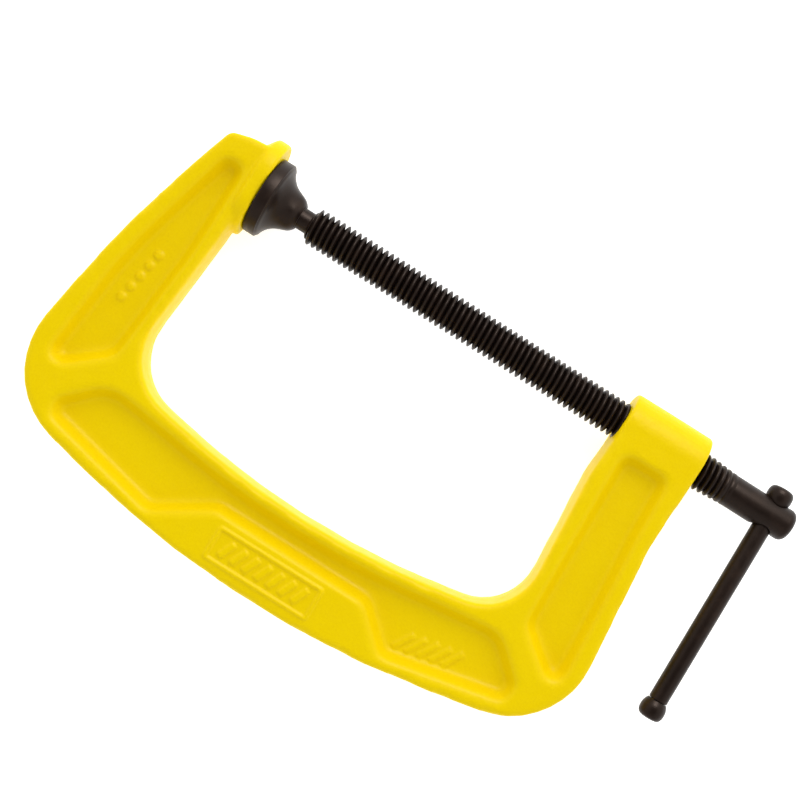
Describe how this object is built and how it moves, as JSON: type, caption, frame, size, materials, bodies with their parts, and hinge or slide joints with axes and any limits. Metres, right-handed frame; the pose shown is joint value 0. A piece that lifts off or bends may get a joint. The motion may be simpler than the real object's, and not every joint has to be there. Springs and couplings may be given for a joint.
{
  "type": "c clamp",
  "caption": "C clamp: a cast iron frame with an anvil, and a screw with a swivel pad and a sliding bar handle.",
  "frame": {"origin": "centre of the anvil's working face, on the screw's axis", "axes": "+X along the screw towards the handle, the spine of the C on the -Y side, +Z square to the clamp's flat side"},
  "size_m": [0.2955, 0.1614, 0.0326],
  "materials": {
    "yellow_paint": "yellow enamel over a sand-cast surface",
    "black_steel": "satin black oxide",
    "black_pad": "satin black oxide"
  },
  "bodies": {
    "frame": {"frame": "yellow_paint"},
    "pad": {"swivel_pad": "black_pad"},
    "screw": {"screw": "black_steel"},
    "bar": {"handle_bar": "black_steel", "bar_cap_upper": "black_steel", "bar_cap_lower": "black_steel"}
  },
  "joints": [
    {"name": "screw_feed", "type": "slide", "parent": "frame", "child": "pad", "axis": [1, 0, 0], "range_m": [0, 0.15]},
    {"name": "screw_turn", "type": "hinge", "parent": "pad", "child": "screw", "pos_m": [0.0111, 0, 0], "axis": [1, 0, 0], "range_deg": [0, 21259.5]},
    {"name": "bar_slide", "type": "slide", "parent": "screw", "child": "bar", "axis": [-0.0262, 0.9997, 0], "range_m": [0, 0.0818]}
  ],
  "couplings": [
    {"joint": "screw_feed", "follows": "screw_turn", "m_per_rad": 0.00040425}
  ]
}
